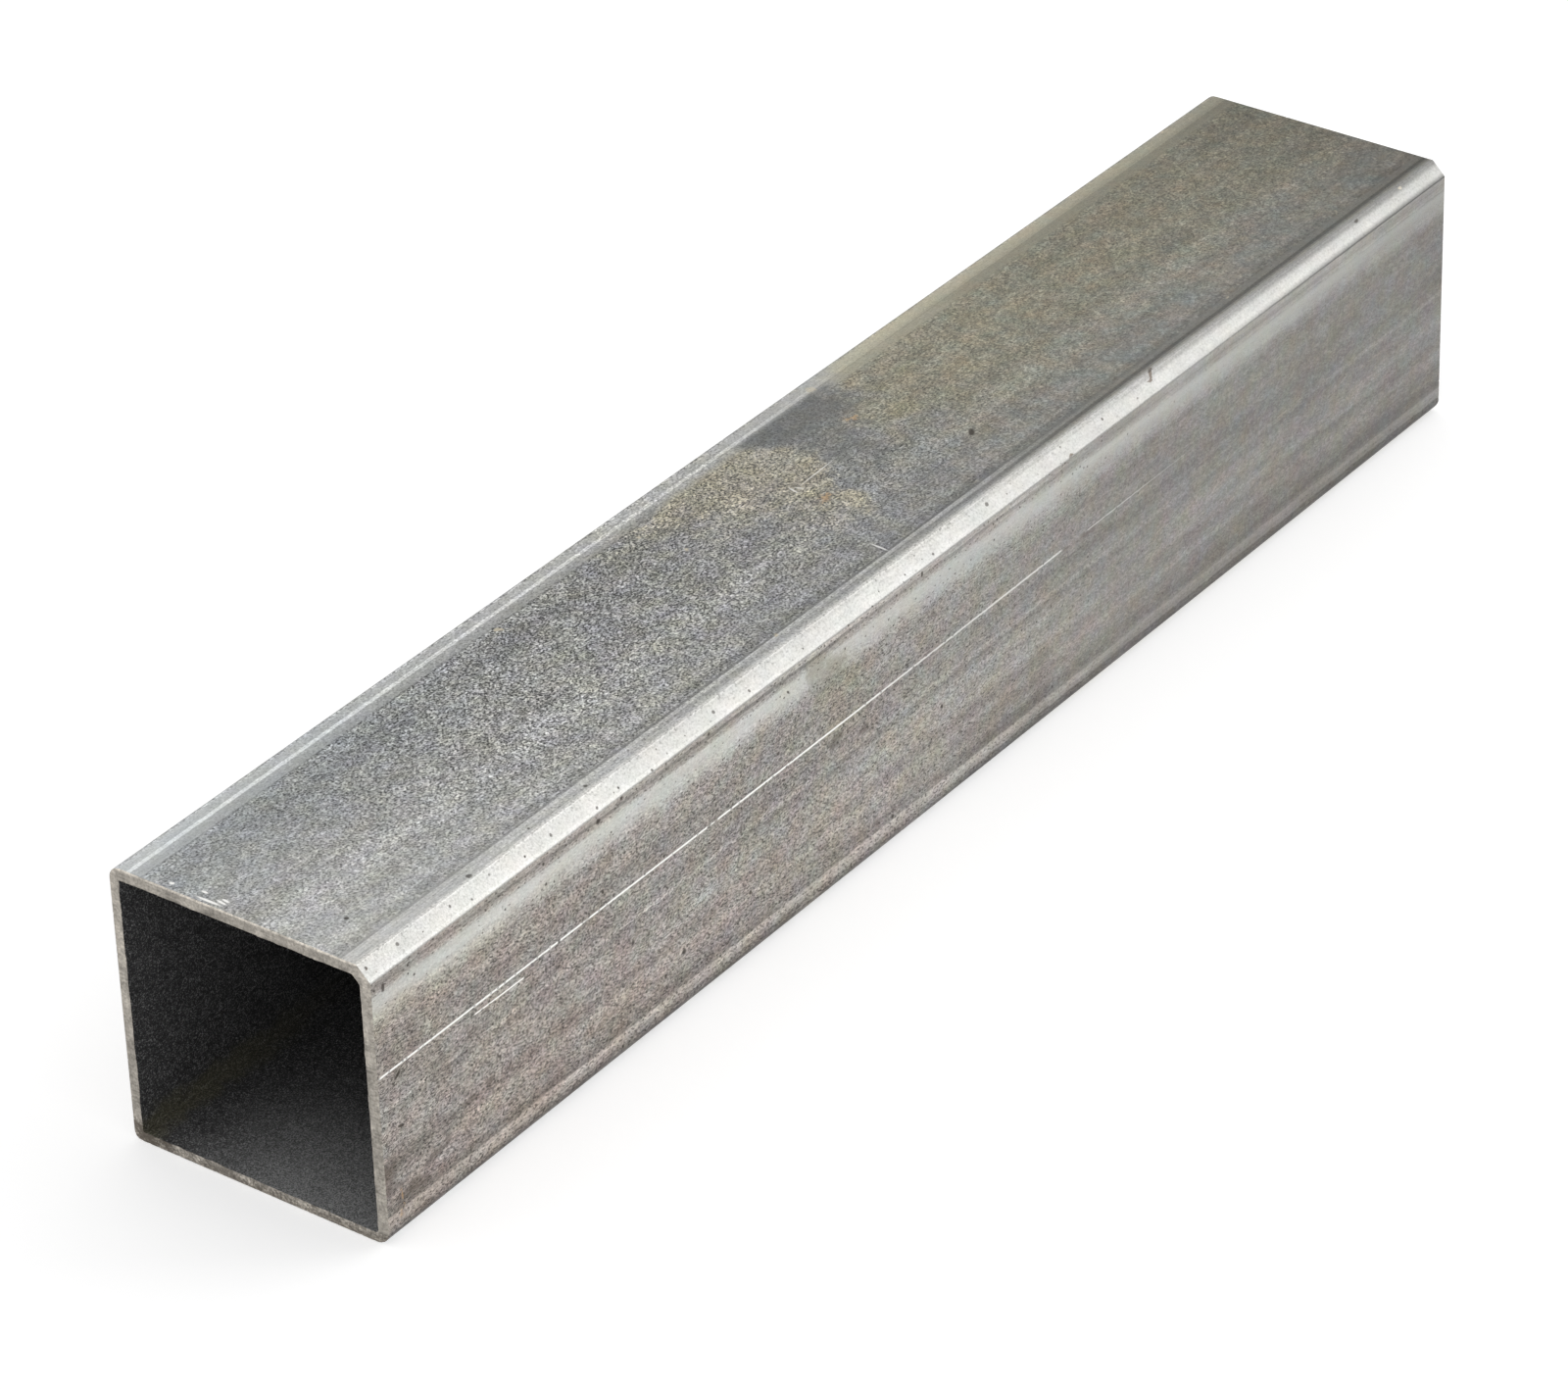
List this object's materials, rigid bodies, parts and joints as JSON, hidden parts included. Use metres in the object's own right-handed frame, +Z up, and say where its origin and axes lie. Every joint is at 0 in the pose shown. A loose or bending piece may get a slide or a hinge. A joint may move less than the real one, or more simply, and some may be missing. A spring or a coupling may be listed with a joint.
{
  "type": "square steel tube",
  "caption": "Short cut length of thin-walled square steel tube, open at both sawn ends, with rolled corners and a bare mill surface.",
  "frame": {"origin": "on the floor under the middle of the tube: centred along and across it, at the level of its bottom flat side", "axes": "+X along the tube, +Y across it towards the rear side, +Z up; the pressed flat corner is the front top one, at -Y +Z"},
  "size_m": [0.24, 0.04, 0.04],
  "materials": {
    "bare_steel": "satin"
  },
  "bodies": {
    "root": {"square_tube": "bare_steel"}
  },
  "joints": []
}
